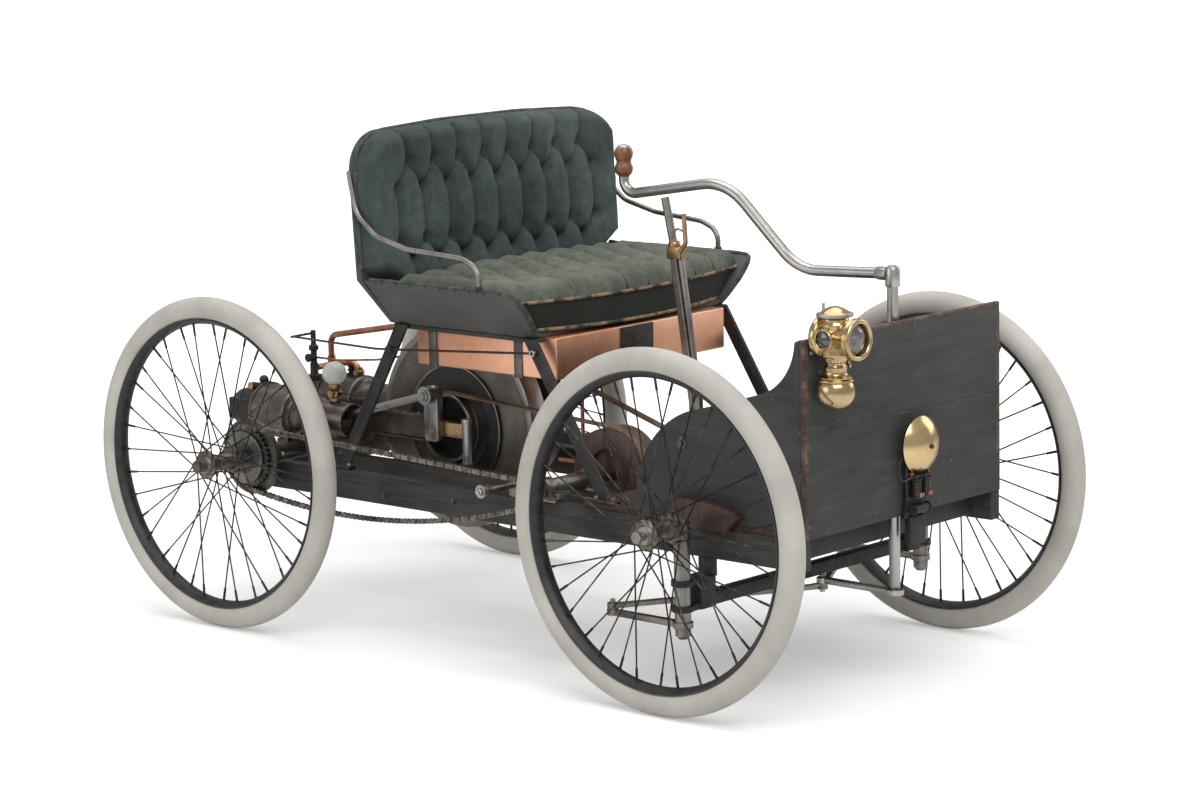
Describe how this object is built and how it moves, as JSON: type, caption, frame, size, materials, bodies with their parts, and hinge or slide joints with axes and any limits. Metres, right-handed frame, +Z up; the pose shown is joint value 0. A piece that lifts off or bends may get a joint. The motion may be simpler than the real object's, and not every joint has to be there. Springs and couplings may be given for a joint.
{
  "type": "motor quadricycle",
  "caption": "Light open motor quadricycle with wire wheels, buttoned bench seat, tiller steering, rear twin-cylinder engine, chain drive, copper tank and brass lamp.",
  "frame": {"origin": "on the ground, midway between the axles and between the wheels", "axes": "+Z up, the front faces -Y, +X is the left-hand side"},
  "size_m": [1.028, 1.946, 1.0772],
  "materials": {
    "tyre": "matt pale rubber",
    "wheel_black": "satin black enamel",
    "frame_black": "black painted timber",
    "panel": "worn charcoal paint on boards",
    "floor_wood": "brown varnished board",
    "seat_panel": "grey painted boards",
    "cloth": "buttoned green cloth",
    "iron_black": "black painted iron",
    "iron_grey": "bare iron, oiled",
    "iron_rust": "brown stained iron",
    "steel": "polished steel",
    "steel_dark": "dull steel",
    "brass": "polished brass",
    "bronze": "bronze",
    "copper": "bright copper",
    "belt": "brown leather",
    "drum_wood": "brown wood",
    "bracket_wood": "red-brown varnished wood",
    "grip_wood": "varnished red-brown wood",
    "glass": "clear glass"
  },
  "bodies": {
    "chassis": {"side_rail_left": "frame_black", "side_rail_right": "frame_black", "sills": "frame_black", "cross_bars": "frame_black", "floor_board": "floor_wood", "front_panel": "panel", "side_panels": "panel", "seat_tray": "seat_panel", "seat_back_board": "seat_panel", "seat_cushion": "cloth", "back_cushion": "cloth", "arm_rails": "iron_black", "seat_legs": "iron_grey", "fuel_tank": "copper", "tank_straps": "iron_black", "cylinders": "iron_rust", "connecting_rods": "steel", "crankshaft": "steel", "crank_bearing": "bronze", "flywheel": "iron_grey", "belts": "belt", "engine_bed": "steel_dark", "mixing_valve": "steel_dark", "oiler": "brass", "oiler_glass": "glass", "fuel_pipes": "copper", "countershaft": "steel_dark", "belt_drum": "drum_wood", "bearings": "steel_dark", "chain": "steel_dark", "front_axle": "iron_black", "front_brackets": "bracket_wood", "hand_lever": "steel", "lamp": "brass", "lamp_glass": "glass", "bell": "brass", "bell_striker": "iron_black"},
    "rear_axle": {"rear_axle": "steel_dark", "wheel_rear_left": "wheel_black", "wheel_rear_right": "wheel_black", "tyre_rear_left": "tyre", "tyre_rear_right": "tyre"},
    "steering": {"steering_column": "steel", "tiller_grip": "grip_wood"},
    "knuckle_left": {"knuckle_left": "iron_black"},
    "knuckle_right": {"knuckle_right": "iron_black"},
    "front_wheel_left": {"wheel_front_left": "wheel_black", "tyre_front_left": "tyre"},
    "front_wheel_right": {"wheel_front_right": "wheel_black", "tyre_front_right": "tyre"},
    "drag_link_left": {"drag_link_left": "steel_dark"},
    "drag_link_right": {"drag_link_right": "steel_dark"}
  },
  "joints": [
    {"name": "tiller_turn", "type": "hinge", "parent": "chassis", "child": "steering", "pos_m": [0, -0.838, 0.5], "axis": [0, 0, 1], "range_deg": [-16, 16]},
    {"name": "rear_axle_spin", "type": "hinge", "parent": "chassis", "child": "rear_axle", "pos_m": [0, 0.6175, 0.3556], "axis": [1, 0, 0], "continuous": true},
    {"name": "knuckle_left_turn", "type": "hinge", "parent": "chassis", "child": "knuckle_left", "pos_m": [0.38, -0.6175, 0.25], "axis": [0, 0, 1], "range_deg": [-16, 16]},
    {"name": "drag_link_left_pivot", "type": "hinge", "parent": "steering", "child": "drag_link_left", "pos_m": [0, -0.658, 0.176], "axis": [0, 0, 1], "range_deg": [-16, 16]},
    {"name": "front_wheel_left_spin", "type": "hinge", "parent": "knuckle_left", "child": "front_wheel_left", "pos_m": [0.454, -0.6175, 0.3556], "axis": [1, 0, 0], "continuous": true},
    {"name": "knuckle_right_turn", "type": "hinge", "parent": "chassis", "child": "knuckle_right", "pos_m": [-0.38, -0.6175, 0.25], "axis": [0, 0, 1], "range_deg": [-16, 16]},
    {"name": "drag_link_right_pivot", "type": "hinge", "parent": "steering", "child": "drag_link_right", "pos_m": [0, -0.658, 0.176], "axis": [0, 0, 1], "range_deg": [-16, 16]},
    {"name": "front_wheel_right_spin", "type": "hinge", "parent": "knuckle_right", "child": "front_wheel_right", "pos_m": [-0.454, -0.6175, 0.3556], "axis": [1, 0, 0], "continuous": true}
  ],
  "couplings": [
    {"joint": "knuckle_left_turn", "follows": "tiller_turn", "ratio": 1},
    {"joint": "drag_link_left_pivot", "follows": "tiller_turn", "ratio": -1},
    {"joint": "knuckle_right_turn", "follows": "tiller_turn", "ratio": 1},
    {"joint": "drag_link_right_pivot", "follows": "tiller_turn", "ratio": -1}
  ]
}
